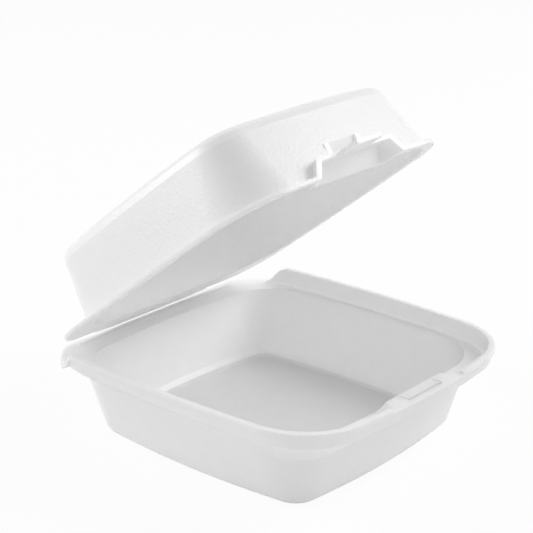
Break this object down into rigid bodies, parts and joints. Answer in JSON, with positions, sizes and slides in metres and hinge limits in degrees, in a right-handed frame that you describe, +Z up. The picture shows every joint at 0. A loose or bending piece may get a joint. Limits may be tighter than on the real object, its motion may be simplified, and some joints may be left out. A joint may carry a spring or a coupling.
{
  "type": "foam clamshell container",
  "caption": "Square hinged takeaway food container of white foam, with a deep lid standing partly open and a tuck-in front latch.",
  "frame": {"origin": "centre of the face that the tray stands on", "axes": "+X along the hinge, +Y from the latch towards the hinge, +Z up"},
  "size_m": [0.1504, 0.163, 0.1477],
  "materials": {
    "foam": "satin white expanded polystyrene sheet with a fine cell texture",
    "foam_lid": "satin white expanded polystyrene sheet with a fine cell texture"
  },
  "bodies": {
    "tray": {"tray": "foam"},
    "lid": {"lid": "foam_lid"}
  },
  "joints": [
    {"name": "lid_hinge", "type": "hinge", "parent": "tray", "child": "lid", "pos_m": [0, 0.077, 0.03313], "axis": [-1, 0, 0], "range_deg": [-38.8, 134]}
  ]
}
